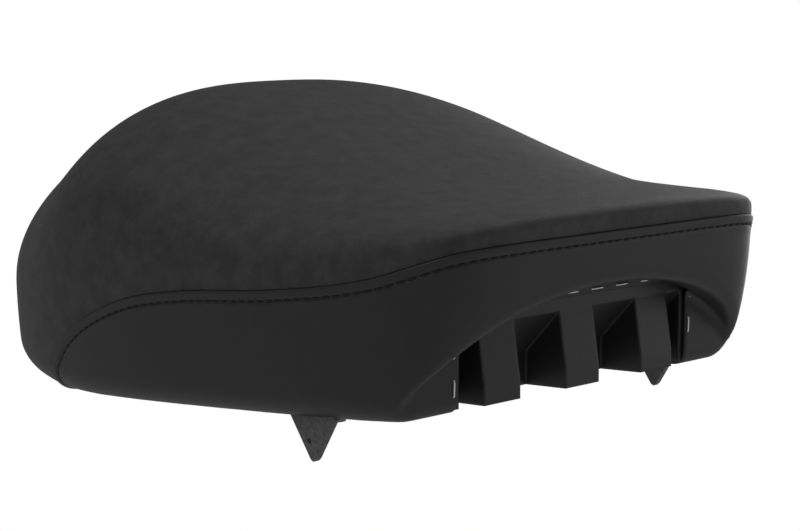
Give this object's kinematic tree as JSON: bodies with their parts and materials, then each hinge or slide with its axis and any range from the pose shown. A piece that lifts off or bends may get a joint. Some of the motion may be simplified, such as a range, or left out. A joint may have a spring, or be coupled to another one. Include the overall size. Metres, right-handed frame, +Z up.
{
  "type": "motorcycle seat",
  "caption": "Padded motorcycle saddle with a low front lip over an arched, ribbed pan front, a tall rounded rear hump, sewn two-panel cover, guide lugs and a latch pin.",
  "frame": {"origin": "on the ground under the middle of the seat's box, with the seat standing on its two guide lugs and the rear edge of its cover", "axes": "+X across the seat towards its right side, -Y towards the front with the open arch, +Y towards the tall rear hump, +Z up"},
  "size_m": [0.344, 0.4344, 0.1831],
  "materials": {
    "pan_plastic": "injection-moulded black polypropylene, satin",
    "foam": "firm moulded polyurethane foam, grey",
    "comfort_foam": "soft polyurethane foam, cream",
    "band_vinyl": "smooth black upholstery vinyl, low sheen",
    "top_vinyl": "finely grained black upholstery vinyl, suede-like",
    "staple_steel": "galvanised steel wire",
    "thread": "bonded black polyester thread",
    "lug_plastic": "glass-filled nylon, dark grey and slightly mottled",
    "rivet_steel": "blackened steel",
    "plated_steel": "zinc-plated steel",
    "insert_brass": "brass",
    "buffer_rubber": "moulded black rubber"
  },
  "bodies": {
    "root": {"seat_pan": "pan_plastic", "foam_core": "foam", "comfort_foam_layer": "comfort_foam", "cover_side_band": "band_vinyl", "cover_top_panel": "top_vinyl", "cover_staples": "staple_steel", "seam_thread": "thread", "guide_lug_left": "lug_plastic", "guide_lug_right": "lug_plastic", "guide_lug_rivets": "rivet_steel", "latch_plate": "plated_steel", "latch_screws": "plated_steel", "threaded_inserts": "insert_brass", "latch_pin": "plated_steel", "latch_pin_washer": "plated_steel", "latch_pin_nut": "plated_steel", "rubber_buffer_front_left": "buffer_rubber", "rubber_buffer_front_right": "buffer_rubber", "rubber_buffer_rear_left": "buffer_rubber", "rubber_buffer_rear_right": "buffer_rubber"}
  },
  "joints": []
}
